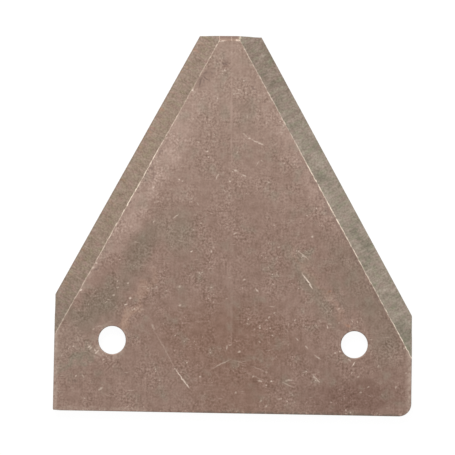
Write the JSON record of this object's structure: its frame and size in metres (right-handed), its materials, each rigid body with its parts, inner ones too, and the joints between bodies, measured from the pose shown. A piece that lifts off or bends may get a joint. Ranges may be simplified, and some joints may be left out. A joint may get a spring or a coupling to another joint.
{
  "type": "sickle section",
  "caption": "Triangular steel cutting blade for a mower knife, ground smooth along both slanting edges, with rivet holes near its rear edge.",
  "frame": {"origin": "midway between the centres of the two rivet holes, on the underside that lies on the knife back", "axes": "+X along the rear edge, +Y towards the tip, +Z out of the upper face, from which both cutting edges are ground"},
  "size_m": [0.076, 0.08, 0.002],
  "materials": {
    "hardened_steel": "brown mill scale with heat tint along the edges, ground bevels bare"
  },
  "bodies": {
    "root": {"sickle_section": "hardened_steel"}
  },
  "joints": []
}
